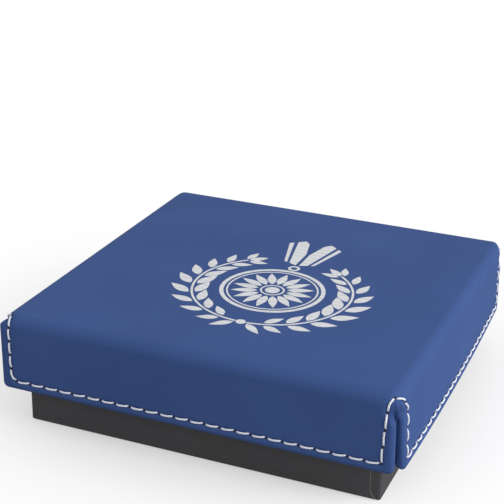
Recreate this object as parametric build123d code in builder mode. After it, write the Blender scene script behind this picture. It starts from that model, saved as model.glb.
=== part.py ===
from build123d import *
import os

# Medal display box: a rigid tray wrapped in black paper, and a lid of sewn leatherette that lifts off it.
# Millimetres. +Z is up, +Y runs to the back, and the origin is the middle of the underside.

# Sheet materials.
paper = 0.18
corner_tape = 0.12
tray_board = 1.9
flap_board = 2.0
top_board = 1.5
leatherette = 1.0
lining = 0.7

# Tray, outside sizes over its paper.
tray_width = 92.3
tray_depth = 92.3
tray_height = 27.0
board_edge_radius = 0.3

# Paper on the tray.
turn_under = 10.0
turn_in = 16.0
lap_setback = 2.5
lap_foot_setback = 0.6
lap_foot_height = 2.7
underside_setback = 0.8

# Paper tapes on the tray's corners.
tape_leg = 11.0
tape_end_gap = 1.5

# Foam pad.
foam_thickness = 12.7
foam_clearance = 0.3
foam_corner_radius = 1.5
foam_edge_radius = 0.8

# Lid.
lid_height = 19.2
lid_clearance = 0.95
shoulder_radius = 5.0
corner_radius = 3.0
lip_radius = 1.6
bottom_hem = 1.6
side_hem = 4.2
turned_edge = 3.0

# Slots between the lid's flaps.
slot_height = 16.0
slot_top_width = 0.7
slot_foot_width = 1.7
flap_corner_radius = 1.7

# Worked out from the sizes above: the tray.
board_width = tray_width - 2 * (corner_tape + paper)
board_depth = tray_depth - 2 * (corner_tape + 2 * paper)
board_bottom = 2 * paper
board_top = tray_height - paper
board_floor = board_bottom + tray_board
board_hollow_width = board_width - 2 * tray_board
board_hollow_depth = board_depth - 2 * tray_board
hollow_width = board_hollow_width - 2 * paper
hollow_depth = board_hollow_depth - 2 * paper
wrap_depth = tray_depth - 2 * paper
wrap_edge_radius = board_edge_radius + corner_tape + paper

# Worked out from the sizes above: the lid.
flap_thickness = leatherette + flap_board + lining
lid_hollow_width = tray_width + 2 * lid_clearance
lid_hollow_depth = tray_depth + 2 * lid_clearance
lid_width = lid_hollow_width + 2 * flap_thickness
lid_depth = lid_hollow_depth + 2 * flap_thickness
lid_top = tray_height + lining + top_board + leatherette
lid_bottom = lid_top - lid_height
shoulder_bottom = lid_top - shoulder_radius
flap_board_height = shoulder_bottom - lid_bottom - bottom_hem
slot_top = lid_bottom + slot_height

corners = {"front_left": (-1, -1), "front_right": (1, -1), "back_right": (1, 1), "back_left": (-1, 1)}

os.makedirs("parts", exist_ok=True)


def save(piece, name):
    piece.part.label = name
    export_step(piece.part, f"parts/{name}.step")


# Tray board: one scored blank of greyboard folded up into a tray.
with BuildPart() as base_board:
    with BuildSketch(Plane.XY.offset(board_bottom)):
        RectangleRounded(board_width, board_depth, board_edge_radius)
    extrude(amount=board_top - board_bottom)
    with BuildSketch(Plane.XY.offset(board_floor)):
        Rectangle(board_hollow_width, board_hollow_depth)
    extrude(amount=board_top - board_floor, mode=Mode.SUBTRACT)
save(base_board, "base_board")

# Corner tapes: gummed paper folded round each upright edge of the board, under the wrap.
for corner_name, (side_x, side_y) in corners.items():
    with BuildPart() as tape:
        with BuildSketch(Plane.XY.offset(board_bottom + tape_end_gap)):
            RectangleRounded(
                board_width + 2 * corner_tape, board_depth + 2 * corner_tape, board_edge_radius + corner_tape
            )
            RectangleRounded(board_width, board_depth, board_edge_radius, mode=Mode.SUBTRACT)
            with Locations((side_x * board_width / 2, side_y * board_depth / 2)):
                Rectangle(2 * tape_leg, 2 * tape_leg, mode=Mode.INTERSECT)
        extrude(amount=board_top - board_bottom - 2 * tape_end_gap)
    save(tape, f"corner_tape_{corner_name}")

# Tray wrap: black paper glued round the walls, turned under the floor and over the rim into the tray.
with BuildPart() as base_wrap:
    with BuildSketch(Plane.XY.offset(paper)):
        RectangleRounded(tray_width, wrap_depth, wrap_edge_radius)
    extrude(amount=tray_height - paper)
    with BuildSketch(Plane.XY.offset(board_bottom)):
        RectangleRounded(tray_width - 2 * paper, wrap_depth - 2 * paper, wrap_edge_radius - paper)
    extrude(amount=board_top - board_bottom, mode=Mode.SUBTRACT)
    with BuildSketch(Plane.XY.offset(paper)):
        Rectangle(tray_width - 2 * turn_under, wrap_depth - 2 * turn_under)
    extrude(amount=paper, mode=Mode.SUBTRACT)
    with BuildSketch(Plane.XY.offset(tray_height - turn_in)):
        Rectangle(board_hollow_width, board_hollow_depth)
    extrude(amount=turn_in)
    with BuildSketch(Plane.XY.offset(tray_height - turn_in)):
        Rectangle(hollow_width, hollow_depth)
    extrude(amount=turn_in, mode=Mode.SUBTRACT)
    # The front and back panels lap over the corner tabs and stop short of the corners.
    for lap_plane in (Plane.XZ.offset(wrap_depth / 2), Plane.XZ.offset(-tray_depth / 2)):
        with BuildSketch(lap_plane):
            with BuildLine():
                Polyline(
                    (-tray_width / 2 + lap_foot_setback, paper),
                    (tray_width / 2 - lap_foot_setback, paper),
                    (tray_width / 2 - lap_setback, lap_foot_height),
                    (tray_width / 2 - lap_setback, tray_height),
                    (-tray_width / 2 + lap_setback, tray_height),
                    (-tray_width / 2 + lap_setback, lap_foot_height),
                    close=True,
                )
            make_face()
        extrude(amount=paper)
save(base_wrap, "base_wrap")

# Underside sheet: paper glued over the turned edges. The box stands on it.
with BuildPart() as base_sheet:
    with BuildSketch():
        Rectangle(tray_width - 2 * underside_setback, wrap_depth - 2 * underside_setback)
    extrude(amount=paper)
save(base_sheet, "base_sheet")

# Foam pad: one plain block, cut a little small and lying on the tray's floor.
with BuildPart() as foam_pad:
    with BuildSketch(Plane.XY.offset(board_floor)):
        RectangleRounded(hollow_width - 2 * foam_clearance, hollow_depth - 2 * foam_clearance, foam_corner_radius)
    extrude(amount=foam_thickness)
    fillet(foam_pad.faces().sort_by(Axis.Z)[-1].edges(), foam_edge_radius)
save(foam_pad, "foam_pad")

# Lid top board: a flat stiffener that ends where the soft shoulders begin.
with BuildPart() as lid_top_board:
    with BuildSketch(Plane.XY.offset(tray_height + lining)):
        Rectangle(lid_width - 2 * shoulder_radius, lid_depth - 2 * shoulder_radius)
    extrude(amount=top_board)
save(lid_top_board, "lid_top_board")

# Flap boards: one stiffener in each hanging flap, between the leatherette and the lining.
side_offset = lid_width / 2 - leatherette - flap_board / 2
end_offset = lid_depth / 2 - leatherette - flap_board / 2
side_length = lid_depth - 2 * shoulder_radius
end_length = lid_width - 2 * shoulder_radius
flap_boards = {
    "lid_front_board": (0, -end_offset, end_length, flap_board),
    "lid_back_board": (0, end_offset, end_length, flap_board),
    "lid_left_board": (-side_offset, 0, flap_board, side_length),
    "lid_right_board": (side_offset, 0, flap_board, side_length),
}
lid_boards = [lid_top_board]
for board_name, (centre_x, centre_y, length_x, length_y) in flap_boards.items():
    with BuildPart() as lid_flap_board:
        with BuildSketch(Plane.XY.offset(lid_bottom + bottom_hem)):
            with Locations((centre_x, centre_y)):
                Rectangle(length_x, length_y)
        extrude(amount=flap_board_height)
    save(lid_flap_board, board_name)
    lid_boards.append(lid_flap_board)

# Lid lining: one cross-shaped sheet that covers the underside and the inside of each flap.
lining_bottom = lid_bottom + turned_edge
with BuildPart() as lid_lining:
    for upright, hollow_across, sheet_run in (
        (Plane.XZ, lid_hollow_width, lid_depth - 2 * side_hem),
        (Plane.YZ, lid_hollow_depth, lid_width - 2 * side_hem),
    ):
        with BuildSketch(upright):
            with Locations((0, lining_bottom)):
                Rectangle(
                    hollow_across + 2 * lining,
                    tray_height + lining - lining_bottom,
                    align=(Align.CENTER, Align.MIN),
                )
        extrude(amount=sheet_run / 2, both=True)
    with BuildSketch(Plane.XZ):
        with Locations((0, lining_bottom)):
            Rectangle(lid_hollow_width, tray_height - lining_bottom, align=(Align.CENTER, Align.MIN))
    extrude(amount=lid_hollow_depth / 2, both=True, mode=Mode.SUBTRACT)
save(lid_lining, "lid_lining")


# The lid's hollow: the room for the tray, flared where the flaps' lips roll inward.
with BuildPart() as lid_hollow:
    for upright, hollow_across, hollow_mode in (
        (Plane.XZ, lid_hollow_width, Mode.ADD),
        (Plane.YZ, lid_hollow_depth, Mode.INTERSECT),
    ):
        lip_centre = hollow_across / 2 + lip_radius
        lip_height = lid_bottom + lip_radius
        with BuildSketch(upright):
            with BuildLine():
                CenterArc((-lip_centre, lip_height), lip_radius, 270, 90)
                Line((-hollow_across / 2, lip_height), (-hollow_across / 2, tray_height))
                Line((-hollow_across / 2, tray_height), (hollow_across / 2, tray_height))
                Line((hollow_across / 2, tray_height), (hollow_across / 2, lip_height))
                CenterArc((lip_centre, lip_height), lip_radius, 180, 90)
                Line((lip_centre, lid_bottom), (-lip_centre, lid_bottom))
            make_face()
        extrude(amount=max(lid_width, lid_depth) / 2, both=True, mode=hollow_mode)

# Lid cover: one cross-shaped sheet of leatherette with a padded back. It folds over soft shoulders,
# rolls round the edges of the four flaps, and leaves an open slot at each corner.
with BuildPart() as lid_cover:
    for upright, across, along, cover_mode in (
        (Plane.XZ, lid_width, lid_depth, Mode.ADD),
        (Plane.YZ, lid_depth, lid_width, Mode.INTERSECT),
    ):
        with BuildSketch(upright) as cover_section:
            with Locations((0, lid_bottom)):
                Rectangle(across, lid_height, align=(Align.CENTER, Align.MIN))
            fillet(cover_section.vertices().group_by(Axis.Y)[-1], shoulder_radius)
            fillet(cover_section.vertices().group_by(Axis.Y)[0], lip_radius)
        extrude(amount=along / 2, both=True, mode=cover_mode)
    with BuildSketch(Plane.XY.offset(lid_bottom)):
        RectangleRounded(lid_width, lid_depth, corner_radius)
    extrude(amount=lid_height, mode=Mode.INTERSECT)
    add(lid_hollow.part, mode=Mode.SUBTRACT)
    slot_foot = lid_bottom + flap_corner_radius
    slot_flare = slot_foot_width / 2 + flap_corner_radius
    for side_x, side_y in corners.values():
        corner_plane = Plane(
            origin=(side_x * lid_width / 2, side_y * lid_depth / 2, 0),
            x_dir=(-side_y, side_x, 0),
            z_dir=(side_x, side_y, 0),
        )
        with BuildSketch(corner_plane):
            with BuildLine():
                CenterArc((0, slot_top - slot_top_width / 2), slot_top_width / 2, 0, 180)
                Line((-slot_top_width / 2, slot_top - slot_top_width / 2), (-slot_foot_width / 2, slot_foot))
                CenterArc((-slot_flare, slot_foot), flap_corner_radius, 270, 90)
                Line((-slot_flare, lid_bottom), (slot_flare, lid_bottom))
                CenterArc((slot_flare, slot_foot), flap_corner_radius, 180, 90)
                Line((slot_foot_width / 2, slot_foot), (slot_top_width / 2, slot_top - slot_top_width / 2))
            make_face()
        extrude(amount=2 * flap_thickness, both=True, mode=Mode.SUBTRACT)
    for stiffener in lid_boards:
        add(stiffener.part, mode=Mode.SUBTRACT)
    add(lid_lining.part, mode=Mode.SUBTRACT)
save(lid_cover, "lid_cover")
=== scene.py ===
import math

import bmesh
import bpy
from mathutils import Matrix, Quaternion, Vector, kdtree, noise


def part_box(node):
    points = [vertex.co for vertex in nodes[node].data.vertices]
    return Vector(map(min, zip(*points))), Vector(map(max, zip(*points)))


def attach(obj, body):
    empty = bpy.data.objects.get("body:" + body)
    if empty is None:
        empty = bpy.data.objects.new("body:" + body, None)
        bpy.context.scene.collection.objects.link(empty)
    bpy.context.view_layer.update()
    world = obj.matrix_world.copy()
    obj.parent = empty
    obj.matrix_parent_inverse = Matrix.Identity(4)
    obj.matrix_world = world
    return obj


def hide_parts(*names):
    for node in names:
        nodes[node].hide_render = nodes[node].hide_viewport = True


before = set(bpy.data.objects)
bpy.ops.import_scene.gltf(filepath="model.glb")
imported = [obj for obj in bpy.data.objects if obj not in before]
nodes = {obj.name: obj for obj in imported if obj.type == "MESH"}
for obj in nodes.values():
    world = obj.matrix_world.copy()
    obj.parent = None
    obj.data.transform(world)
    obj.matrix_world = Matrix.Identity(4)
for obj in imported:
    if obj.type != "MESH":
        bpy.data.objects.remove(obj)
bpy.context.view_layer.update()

# Tray board: grey recycled board, scored and folded up into a tray. The wrap and the foam hide nearly all of
# it. Its corner tapes are brown gummed paper. Both keep their CAD shapes and only get their finish here.
MM = 0.001


def linear(hex_colour):
    """An sRGB hex colour as a linear RGBA tuple."""
    parts = [int(hex_colour[i:i + 2], 16) / 255 for i in (1, 3, 5)]
    return tuple(c / 12.92 if c <= 0.04045 else ((c + 0.055) / 1.055) ** 2.4 for c in parts) + (1.0,)


def add(tree, kind, inputs=None, **settings):
    """Adds a node to a tree, with its settings, and its inputs set or linked."""
    made = tree.nodes.new(kind)
    for name, value in settings.items():
        setattr(made, name, value)
    for name, value in (inputs or {}).items():
        if isinstance(value, bpy.types.NodeSocket):
            tree.links.new(value, made.inputs[name])
        else:
            made.inputs[name].default_value = value
    return made


def new_material(name):
    """An empty node material: its tree, its shader and its Object coordinates."""
    material = bpy.data.materials.new(name)
    material.use_nodes = True
    tree = material.node_tree
    tree.nodes.clear()
    shader = add(tree, "ShaderNodeBsdfPrincipled")
    add(tree, "ShaderNodeOutputMaterial", {"Surface": shader.outputs["BSDF"]})
    place = add(tree, "ShaderNodeTexCoord").outputs["Object"]
    return material, tree, shader, place


def per_mm(size):
    """The texture scale, per metre, whose features are about this many millimetres across."""
    return 1 / (size * MM)


def mottle(tree, place, size, **inputs):
    """A soft noise with features of about this many millimetres."""
    return add(tree, "ShaderNodeTexNoise", {"Vector": place, "Scale": per_mm(size), **inputs}).outputs["Fac"]


def two_tone(tree, share, first, second, start=0.0, end=1.0):
    """A colour that goes from one hex tone to another while the share goes from start to end."""
    ramp = add(tree, "ShaderNodeValToRGB", {"Fac": share})
    for stop, position, tone in zip(ramp.color_ramp.elements, (start, end), (first, second)):
        stop.position = position
        stop.color = linear(tone)
    return ramp.outputs["Color"]


def relief(tree, height, strength, depth, invert=False, **inputs):
    """The normal that a bump of this many millimetres makes."""
    inputs = {"Height": height, "Strength": strength, "Distance": depth * MM, **inputs}
    return add(tree, "ShaderNodeBump", inputs, invert=invert).outputs["Normal"]


def finish(tree, shader, colour, roughness, normal=None, specular=0.5):
    """Links a shader's colour and normal, and sets how rough it is and how much it shines."""
    tree.links.new(colour, shader.inputs["Base Color"])
    if normal is not None:
        tree.links.new(normal, shader.inputs["Normal"])
    shader.inputs["Roughness"].default_value = roughness
    shader.inputs["Specular IOR Level"].default_value = specular


def dress(node, material):
    """Gives a CAD node its finish through its own material slots."""
    mesh = nodes[node].data
    mesh.materials.clear()
    mesh.materials.append(material)


def greyboard_material():
    """Uncoated grey recycled board: matt and fibrous, with darker flecks of old print."""
    material, tree, shader, place = new_material("greyboard_uncoated")
    flecks = mottle(tree, place, size=0.8, Detail=4.0)
    tone = two_tone(tree, flecks, "#77726A", "#908B81", start=0.35, end=0.6)
    finish(tree, shader, tone, roughness=0.9, normal=relief(tree, flecks, strength=0.4, depth=0.05))
    return material


def kraft_material():
    """Brown gummed kraft tape: warm and matt, with fibres drawn out up and down the corner."""
    material, tree, shader, place = new_material("kraft_tape_gummed")
    fibres = add(tree, "ShaderNodeMapping", {"Vector": place, "Scale": (1.0, 1.0, 0.15)})
    grain = mottle(tree, fibres.outputs["Vector"], size=0.3)
    finish(tree, shader, two_tone(tree, grain, "#9A7148", "#BD9467"), roughness=0.8)
    return material


greyboard = greyboard_material()
kraft = kraft_material()
dress("base_board", greyboard)
for corner_name in ("front_left", "front_right", "back_right", "back_left"):
    dress("corner_tape_" + corner_name, kraft)

# Tray wrap: black uncoated paper glued round the walls, turned over the rim and under the floor. The front
# and back panels lap over the corner tabs and end a little short of each corner, with a slanted foot.
PAPER = 0.18
TRAY_BOARD = 1.9
WRAP_FOLD = 0.35
PLAN_CORNER = 0.7
LEAST_CORNER = 0.08
TURN_IN = 16.0
TURN_UNDER = 10.0
# A lapped panel: how far it ends from the corner above its foot and at it, the foot's height, its middle
# row and its curve, how high the panel starts, how round its cut edges are, and how deep they are sunk in
# the wrap.
LAP_SETBACK = 2.5
LAP_FOOT_SETBACK = 0.6
LAP_FOOT_HEIGHT = 2.7
LAP_FOOT_MIDDLE = 0.55
LAP_FOOT_CURVE = 0.8
LAP_START = 0.25
LAP_EDGE = 0.09
LAP_SUNK = 0.05
# Points of a mesh that lie closer together than this are one.
WELD = 0.002


def box_of(node):
    """The two corners of a CAD node's box, in millimetres."""
    return [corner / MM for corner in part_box(node)]


wrap_high = box_of("base_wrap")[1]
tray_half_x = wrap_high.x
tray_half_y = wrap_high.y - PAPER
tray_top = wrap_high.z
wall = tray_half_x - (box_of("base_board")[1].x - TRAY_BOARD - PAPER)
fold_top = tray_top - WRAP_FOLD


def new_piece(name, bm, material, smooth_angle):
    """A mesh object from bmesh data in millimetres, welded, turned outwards and smooth up to an angle."""
    bmesh.ops.remove_doubles(bm, verts=bm.verts, dist=WELD)
    bmesh.ops.scale(bm, vec=(MM, MM, MM), verts=bm.verts)
    bmesh.ops.recalc_face_normals(bm, faces=bm.faces)
    mesh = bpy.data.meshes.new(name)
    bm.to_mesh(mesh)
    bm.free()
    mesh.materials.append(material)
    mesh.shade_smooth()
    mesh.set_sharp_from_angle(angle=math.radians(smooth_angle))
    piece = bpy.data.objects.new(name, mesh)
    bpy.context.scene.collection.objects.link(piece)
    return piece


def even(start, end, count):
    """Values from start to end, both among them, with so many even steps."""
    return [start + (end - start) * i / count for i in range(count + 1)]


def blend(start, end, share):
    """The value that share of the way from start to end."""
    return start + (end - start) * share


def arc(centre, radius, start, end, steps):
    """Points of an arc in a plane, angles in degrees."""
    turns = [math.radians(turn) for turn in even(start, end, steps)]
    return [(centre[0] + radius * math.cos(t), centre[1] + radius * math.sin(t)) for t in turns]


def ring_points(half_x, half_y, radius, height, steps=6):
    """The corners-rounded rectangle at one height, counter-clockwise."""
    points = []
    for side_x, side_y, start in ((1, -1, -90), (1, 1, 0), (-1, 1, 90), (-1, -1, 180)):
        centre = (side_x * (half_x - radius), side_y * (half_y - radius))
        points += [(x, y, height) for x, y in arc(centre, radius, start, start + 90, steps)]
    return points


def belt(bm, lower, upper):
    """Joins two closed rings of vertices with quads."""
    for i in range(len(lower)):
        after = (i + 1) % len(lower)
        bm.faces.new((lower[i], lower[after], upper[after], upper[i]))


def loop_rings(bm, rings):
    """Joins equal rings of points with quads, each to the next and the last to the first."""
    made = [[bm.verts.new(point) for point in ring] for ring in rings]
    for lower, upper in zip(made, made[1:] + made[:1]):
        belt(bm, lower, upper)


def skin(bm, rows):
    """Joins equal rows of vertices with quads."""
    for lower, upper in zip(rows, rows[1:]):
        for i in range(len(lower) - 1):
            bm.faces.new((lower[i], lower[i + 1], upper[i + 1], upper[i]))


def wrap_mesh():
    """The paper skin of the walls, rim, inside and turned-under edge, with its two lapped panels."""
    bm = bmesh.new()
    foot = PAPER
    inner_fold = WRAP_FOLD - PAPER
    profile = arc((WRAP_FOLD, foot + WRAP_FOLD), WRAP_FOLD, 270, 180, 4)
    profile += arc((WRAP_FOLD, fold_top), WRAP_FOLD, 180, 90, 5)
    profile += arc((wall - WRAP_FOLD, fold_top), WRAP_FOLD, 90, 0, 5)
    profile += [(wall, tray_top - TURN_IN), (wall - PAPER, tray_top - TURN_IN)]
    profile += arc((wall - WRAP_FOLD, fold_top), inner_fold, 0, 90, 3)
    profile += arc((WRAP_FOLD, fold_top), inner_fold, 90, 180, 3)
    profile += arc((WRAP_FOLD, foot + WRAP_FOLD), inner_fold, 180, 270, 3)
    profile += [(TURN_UNDER, foot + PAPER), (TURN_UNDER, foot)]
    loop_rings(bm, [
        ring_points(tray_half_x - inset, tray_half_y - inset, max(PLAN_CORNER - inset, LEAST_CORNER), height)
        for inset, height in profile
    ])
    edge_core_and_highlight = bm.verts.layers.float.new("edge_core_and_highlight")
    for facing in (-1, 1):
        lap_panel(bm, facing, edge_core_and_highlight)
    return bm


def lap_panel(bm, facing, edge_core_and_highlight):
    """One lapped panel: a sheet on the tray's front or back, its cut edges softened and marked to be painted
    pale, partly for the paper's lighter core and partly as a painted highlight.
    """
    heights = [PAPER + LAP_START, LAP_FOOT_HEIGHT * LAP_FOOT_MIDDLE] + even(LAP_FOOT_HEIGHT, fold_top, 6)
    rows = [(0.0, height) for height in heights] + arc((WRAP_FOLD, fold_top), WRAP_FOLD, 180, 110, 4)[1:]
    grid = []
    for inset, height in rows:
        rise = min(1.0, max(0.0, (height - PAPER) / (LAP_FOOT_HEIGHT - PAPER)))
        curve = math.sin(rise * math.pi / 2) ** LAP_FOOT_CURVE
        half = tray_half_x - blend(LAP_FOOT_SETBACK, LAP_SETBACK, curve)
        edge = [(half, -LAP_SUNK), (half, PAPER - LAP_EDGE), (half - LAP_EDGE, PAPER), (half / 2, PAPER)]
        section = [(-along, proud) for along, proud in edge] + [(0, PAPER)] + edge[::-1]
        line = []
        for along, proud in section:
            line.append(bm.verts.new((along, facing * (tray_half_y - inset + proud), height)))
            line[-1][edge_core_and_highlight] = 1.0 if abs(along) == half else 0.0
        grid.append(line)
    skin(bm, grid)
    skin(bm, [(line[0], line[-1]) for line in grid])
    for line in (grid[0], grid[-1]):
        bm.faces.new(line)


def black_paper_material():
    """Black uncoated wrapping paper: soft, matt and grey-black, with short fibres, and paler at its cut
    edges, partly for the paper's lighter core and partly as a painted highlight.
    """
    material, tree, shader, place = new_material("black_paper_uncoated")
    fibre = mottle(tree, place, size=0.45, Detail=5.0, Roughness=0.6)
    cloud = add(tree, "ShaderNodeTexNoise", {"Vector": place, "Scale": per_mm(14.0), "Detail": 2.0})
    tone = two_tone(tree, fibre, "#373639", "#414043", start=0.3, end=0.75)
    shade = add(tree, "ShaderNodeMix", {"Factor": 0.12, "A": tone, "B": cloud.outputs["Color"]},
                data_type="RGBA", blend_type="SOFT_LIGHT").outputs["Result"]
    edge_core_and_highlight = add(tree, "ShaderNodeAttribute", attribute_name="edge_core_and_highlight").outputs["Fac"]
    # Painted highlight: the marked cut edges turn pale grey, partly the paper's lighter core, partly light
    # painted along the edge.
    edge = add(tree, "ShaderNodeMix", {"Factor": edge_core_and_highlight, "A": shade, "B": linear("#7F7875")}, data_type="RGBA")
    normal = relief(tree, fibre, strength=0.25, depth=0.03)
    finish(tree, shader, edge.outputs["Result"], roughness=0.62, normal=normal)
    return material


black_paper = black_paper_material()
tray_wrap = new_piece("tray_wrap", wrap_mesh(), black_paper, smooth_angle=40)
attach(tray_wrap, "base")
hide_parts("base_wrap")

# Underside sheet: a square of the same black paper, glued over the wrap's turned-under edges to hide them.
# It keeps its CAD shape and only gets its finish here.
dress("base_sheet", black_paper)

# Foam pad: one block of charcoal open-cell foam, knife-cut, lying loose in the tray. Its cut faces show
# pits, darkened with painted shade, and bright flecks of painted highlight for the lit cell edges. It keeps
# its CAD place, and its own mesh adds the softened edges and the pitted top.
FOAM_EDGE = 1.0
FOAM_STEP = 0.75
# The top's relief: its pits, in two sizes, its single cells and its sag, each with its depth and how many
# come to a millimetre, or how many millimetres to one sag. The sag is set low, and never stands up.
PIT_DEPTH = 0.22
PITS_PER_MM = (1.5, 3.1)
CELL_DEPTH = 0.06
CELLS_PER_MM = 1.7
SAG_DEPTH = 0.25
SAG_SPAN = 22.0
SAG_LOW = 0.05

foam_low, foam_high = box_of("foam_pad")


def foam_top(x, y):
    """The height of the pad's top. Each noise is read on a level of its own, so that none follows another."""
    edge = min(foam_high.x - abs(x), foam_high.y - abs(y))
    drop = FOAM_EDGE - math.sqrt(max(0.0, FOAM_EDGE ** 2 - max(0.0, FOAM_EDGE - edge) ** 2))
    pits = [noise.noise(Vector((x, y, level)) * count) for level, count in zip((0.0, 9.0), PITS_PER_MM)]
    cell = noise.cell_vector(Vector((x, y, 3.0)) * CELLS_PER_MM).x
    sag = SAG_DEPTH * noise.noise(Vector((x, y, 5.0)) / SAG_SPAN)
    depth = PIT_DEPTH * max(0.0, sum(pits) / 2) + CELL_DEPTH * cell if edge > FOAM_EDGE else 0.0
    return foam_high.z - drop - depth + min(0.0, sag - SAG_LOW)


def border(grid):
    """The vertices round the edge of a grid, in order."""
    first, last = [line[0] for line in grid], [line[-1] for line in grid]
    return first[:-1] + grid[-1][:-1] + last[:0:-1] + grid[0][:0:-1]


def foam_mesh():
    """A block with rounded top edges, whose top is a grid of shallow pits."""
    bm = bmesh.new()
    shares = even(-1, 1, int(2 * foam_high.x / FOAM_STEP))
    spots = [[(u * foam_high.x, v * foam_high.y) for v in shares] for u in shares]
    grid = [[bm.verts.new((x, y, foam_top(x, y))) for x, y in line] for line in spots]
    skin(bm, grid)
    rim = border(grid)
    foot = [bm.verts.new((v.co.x, v.co.y, foam_low.z)) for v in rim]
    belt(bm, rim, foot)
    bm.faces.new(foot)
    return bm


def foam_material():
    """Charcoal open-cell foam: very matt, with painted shade darkening each cell's middle and bright flecks
    of painted highlight for the lit cell edges.
    """
    material, tree, shader, place = new_material("foam_open_cell")
    cells = add(tree, "ShaderNodeTexVoronoi", {"Vector": place, "Scale": per_mm(0.75)},
                feature="DISTANCE_TO_EDGE").outputs["Distance"]
    fine = add(tree, "ShaderNodeTexVoronoi", {"Vector": place, "Scale": per_mm(0.5)}).outputs["Color"]
    chance = add(tree, "ShaderNodeSeparateColor", {"Color": fine}).outputs["Red"]
    # Painted highlight: a random few bright flecks stand for cell edges that catch the light.
    painted_glints = two_tone(tree, chance, "#000000", "#FFFFFF", start=0.86, end=0.97)
    # Painted shade: each cell is coloured darker towards its middle, as if down in a pit.
    pit_shaded_charcoal = two_tone(tree, cells, "#3C3C3D", "#242425", start=0.02, end=0.16)
    colour = add(tree, "ShaderNodeMix", {"Factor": painted_glints, "A": pit_shaded_charcoal, "B": linear("#77777A")},
                 data_type="RGBA").outputs["Result"]
    normal = relief(tree, cells, strength=0.9, depth=0.3, invert=True)
    finish(tree, shader, colour, roughness=0.95, normal=normal, specular=0.2)
    return material


foam_block = new_piece("foam_block", foam_mesh(), foam_material(), smooth_angle=50)
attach(foam_block, "base")
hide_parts("foam_pad")

# Lid boards: the same grey board, one under the top and one in each flap, closed in between cover and
# lining. The flap boards spring outwards a little with their flaps, so their scene meshes follow the flap's
# bow.
FLAP_THICKNESS = 3.7
LEATHERETTE = 1.0
LINING = 0.7
SHOULDER = 3.0
# Each flap in turn, counter-clockwise from the front: its direction along, its direction out, and the bow
# of its lower edge, as the greatest push outwards and where along the flap that is, from the middle.
FLAPS = (
    {"name": "front", "along": (1, 0), "out": (0, -1), "bow": 0.10, "bow_at": 0.0},
    {"name": "right", "along": (0, 1), "out": (1, 0), "bow": 1.45, "bow_at": -10.0},
    {"name": "back", "along": (-1, 0), "out": (0, 1), "bow": 0.35, "bow_at": 0.0},
    {"name": "left", "along": (0, -1), "out": (-1, 0), "bow": 1.2, "bow_at": 20.0},
)
# How far along from there the bow comes down to nothing, how high up the flap it ends, and how it dies away.
BOW_REACH = 62.0
BOW_TOP = 14.2
BOW_CURVE = 1.25
SLAB_LANES = 24
SLAB_LEVELS = 8

lid_low, lid_high = box_of("lid_cover")
lid_half = (lid_high.x, lid_high.y)
lid_bottom = lid_low.z
lid_top = lid_high.z
straight = lid_top - SHOULDER - lid_bottom


def flap_half(flap):
    """Half the length of a flap, and how far its face stands from the lid's middle."""
    return lid_half if flap["along"][1] == 0 else lid_half[::-1]


def bow(flap, from_middle, height):
    """How far the flap springs outwards, nothing at the shoulder and most at its lower edge."""
    if height >= BOW_TOP:
        return 0.0
    across = 1 - ((from_middle - flap["bow_at"]) / BOW_REACH) ** 2
    return flap["bow"] * across * (1 - height / BOW_TOP) ** BOW_CURVE


def flap_point(flap, from_middle, height, depth):
    """A point of a flap: along it from its middle, up from its lower edge, and in from its face."""
    reach = flap_half(flap)[1] - depth + bow(flap, from_middle, height)
    x, y = (along * from_middle + out * reach for along, out in zip(flap["along"], flap["out"]))
    return x, y, lid_bottom + height


def flap_slab(bm, flap, half_length, heights, depths):
    """A closed slab within a flap, following its bow."""
    lanes = even(-half_length, half_length, SLAB_LANES)
    levels = even(*heights, SLAB_LEVELS)
    shells = [
        [[bm.verts.new(flap_point(flap, u, h, depth)) for u in lanes] for h in levels] for depth in depths
    ]
    for shell in shells:
        skin(bm, shell)
    belt(bm, border(shells[0]), border(shells[1]))


dress("lid_top_board", greyboard)
for flap in FLAPS:
    board_bm = bmesh.new()
    foot, head = box_of("lid_" + flap["name"] + "_board")
    flap_slab(board_bm, flap, head.y if flap["along"][0] == 0 else head.x,
              (foot.z - lid_bottom, head.z - lid_bottom), (LEATHERETTE, FLAP_THICKNESS - LINING))
    stiffener = new_piece(flap["name"] + "_flap_board", board_bm, greyboard, smooth_angle=30)
    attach(stiffener, "lid")
    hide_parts("lid_" + flap["name"] + "_board")

# Lid lining: one cross-shaped sheet of black non-woven cloth, sewn to the cover behind the boards. Only its
# inner face shows, when the lid is off. Cut, folded up inside the flaps, its raw edges under the cover's
# turned edge.
SIDE_HEM = 4.2
TURNED_EDGE = 3.0
PANEL_STEPS = 12

lining_top = box_of("lid_lining")[1].z


def lining_mesh():
    """The flat panel over the tray and the four turned-down flaps."""
    bm = bmesh.new()
    for flap in FLAPS:
        flap_slab(bm, flap, flap_half(flap)[0] - SIDE_HEM, (TURNED_EDGE, lining_top - lid_bottom),
                  (FLAP_THICKNESS - LINING, FLAP_THICKNESS))
    half_x, half_y = (half - FLAP_THICKNESS for half in lid_half)
    shares = even(-1, 1, PANEL_STEPS)
    sheets = [[[bm.verts.new((u * half_x, v * half_y, height)) for v in shares] for u in shares]
              for height in (lining_top - LINING, lining_top)]
    for sheet in sheets:
        skin(bm, sheet)
    belt(bm, border(sheets[0]), border(sheets[1]))
    return bm


def lining_material():
    """Black non-woven lining cloth: matt, with short crossed fibres."""
    material, tree, shader, place = new_material("lining_non_woven")
    fibre = mottle(tree, place, size=0.5, Detail=6.0, Roughness=0.7)
    tone = two_tone(tree, fibre, "#1B1B1D", "#333337")
    finish(tree, shader, tone, roughness=0.85, normal=relief(tree, fibre, strength=0.5, depth=0.06))
    return material


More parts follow.
